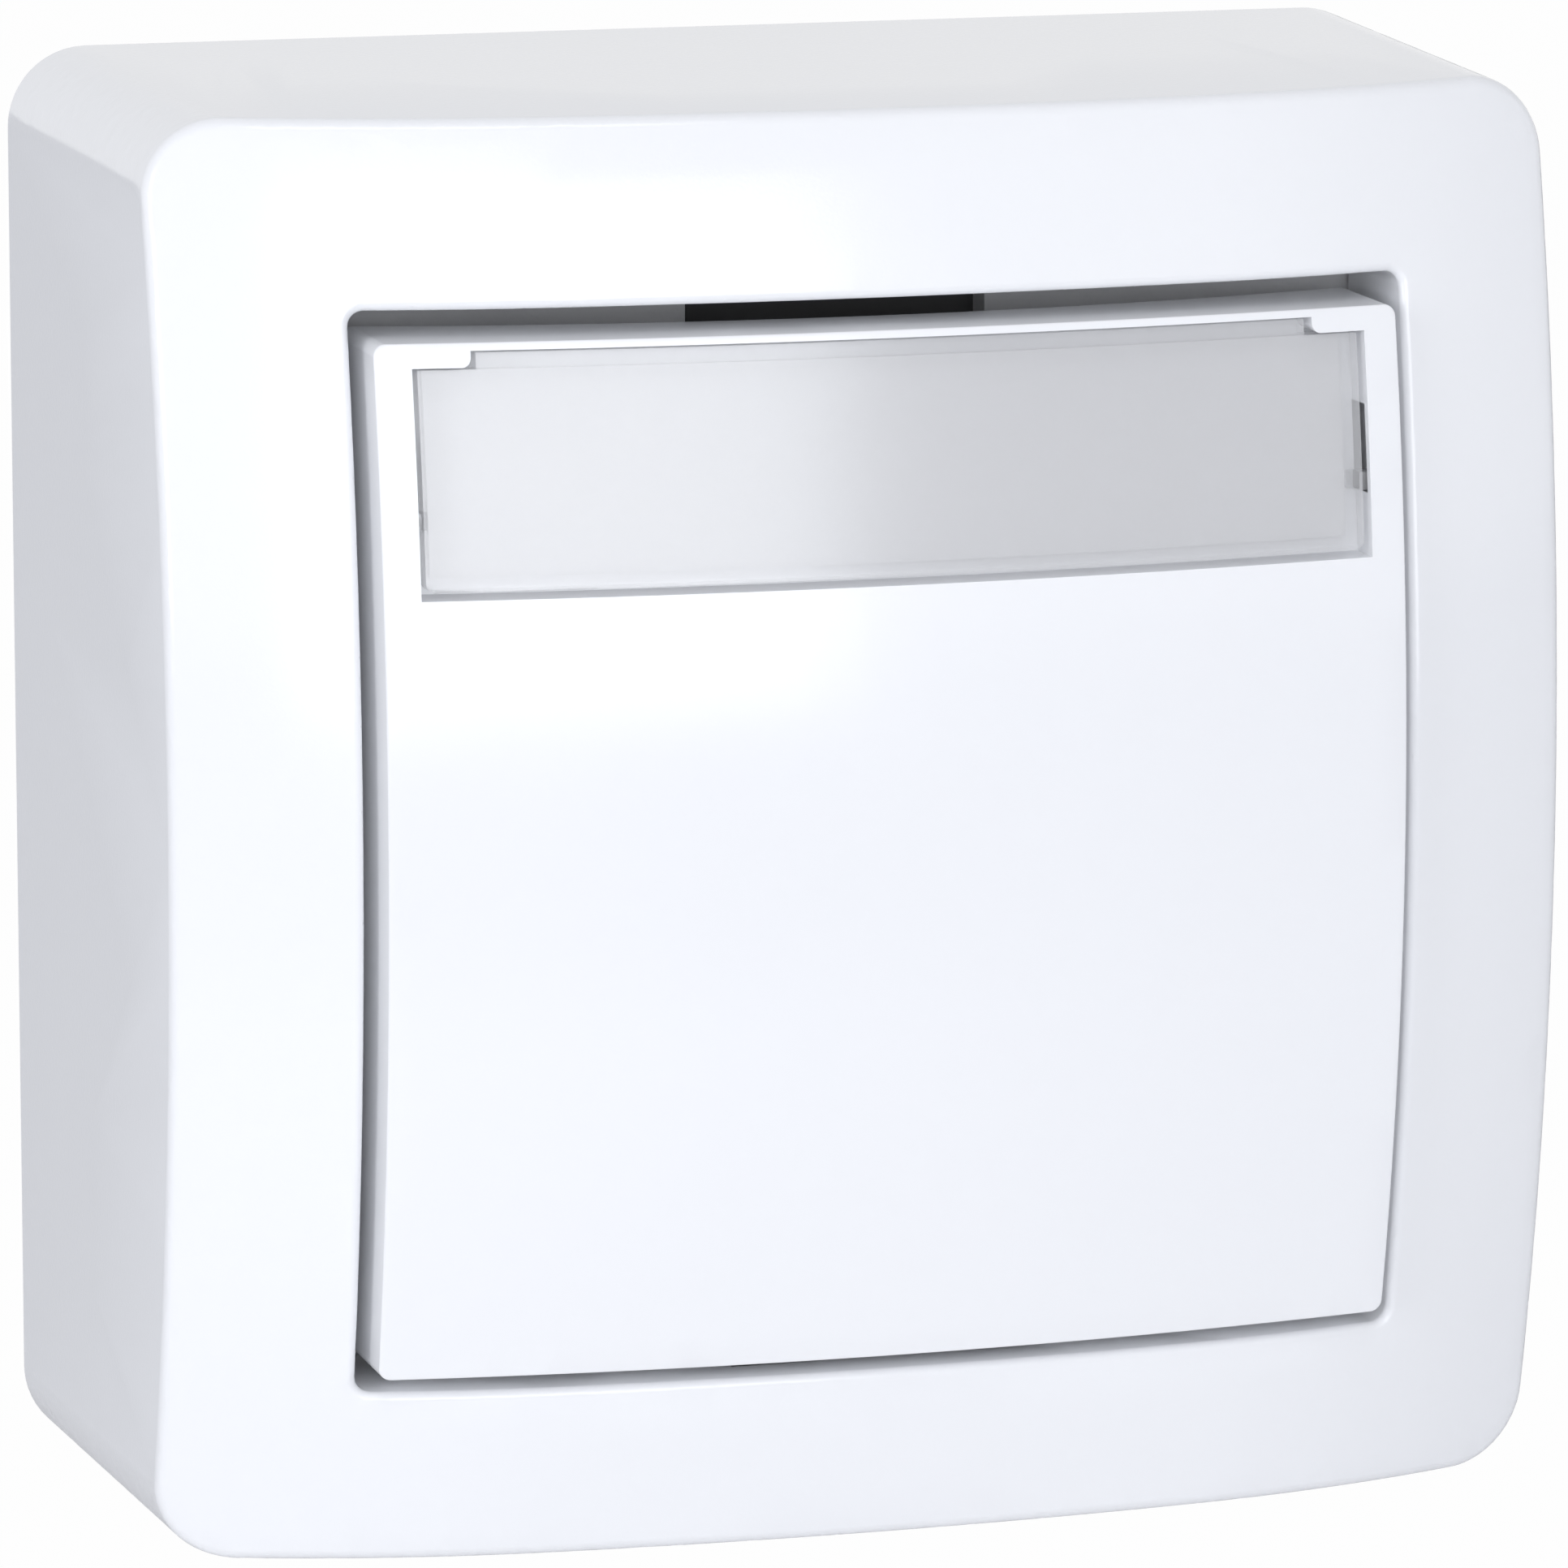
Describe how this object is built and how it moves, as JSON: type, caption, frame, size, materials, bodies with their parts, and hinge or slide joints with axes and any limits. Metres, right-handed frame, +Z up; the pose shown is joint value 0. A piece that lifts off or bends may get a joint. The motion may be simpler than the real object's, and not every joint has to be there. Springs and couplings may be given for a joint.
{
  "type": "surface-mounted pushbutton switch",
  "caption": "Surface-mounted pushbutton switch: a deep white casing with a crowned front, a large hinged key with a label field, and a changeover contact mechanism on a wall plate.",
  "frame": {"origin": "centre of the wall plate's rear face, on the wall", "axes": "+Y into the wall, so the front faces -Y; +X to the right; +Z up"},
  "size_m": [0.0778, 0.0399, 0.077],
  "materials": {
    "white_plastic": "moulded, satin",
    "base_plastic": "moulded, matt",
    "frame_plastic": "moulded, matt",
    "black_plastic": "moulded, matt",
    "carrier_plastic": "moulded, satin",
    "clear_plastic": "clear, polished",
    "card": "uncoated card",
    "spring_bronze": "rolled",
    "contact_silver": "pressed",
    "brass": "stamped",
    "plated_brass": "nickel plated",
    "plated_steel": "zinc plated",
    "spring_steel": "drawn wire"
  },
  "bodies": {
    "housing": {"surround_cover": "white_plastic", "base_plate": "base_plastic", "support_frame": "frame_plastic", "mechanism_housing": "black_plastic", "mechanism_cover": "black_plastic", "break_contact_strip": "brass", "break_contact_rivet": "contact_silver", "make_contact_strip": "brass", "make_contact_rivet": "contact_silver", "common_terminal": "brass", "terminal_clamp_break": "plated_brass", "terminal_clamp_common": "plated_brass", "terminal_clamp_make": "plated_brass", "terminal_screw_break": "plated_steel", "terminal_screw_common": "plated_steel", "terminal_screw_make": "plated_steel", "frame_screws": "plated_steel", "housing_screws": "plated_steel", "return_spring_left": "spring_steel", "return_spring_right": "spring_steel", "contact_spring": "spring_steel"},
    "key": {"push_key": "white_plastic", "label_window": "clear_plastic", "label_card": "card", "key_carrier": "carrier_plastic"},
    "plunger": {"plunger": "carrier_plastic"},
    "contact_lever": {"contact_lever": "spring_bronze", "moving_contact_rivet": "contact_silver"}
  },
  "joints": [
    {"name": "key_hinge", "type": "hinge", "parent": "housing", "child": "key", "pos_m": [0, -0.0276, 0.019], "axis": [1, 0, 0], "range_deg": [0, 2.6], "stiffness_Nm_per_rad": 3, "springref_deg": -1.15, "deforming": ["return_spring_left", "return_spring_right"]},
    {"name": "plunger_slide", "type": "slide", "parent": "housing", "child": "plunger", "axis": [0, 1, 0], "range_m": [0, 0.0011]},
    {"name": "contact_lever_hinge", "type": "hinge", "parent": "housing", "child": "contact_lever", "pos_m": [0, -0.0165, -0.0122], "axis": [-1, 0, 0], "range_deg": [0, 8.7], "deforming": ["contact_spring"]}
  ],
  "couplings": [
    {"joint": "plunger_slide", "follows": "key_hinge", "m_per_rad": 0.024},
    {"joint": "contact_lever_hinge", "follows": "key_hinge", "ratio": 3.3333}
  ]
}
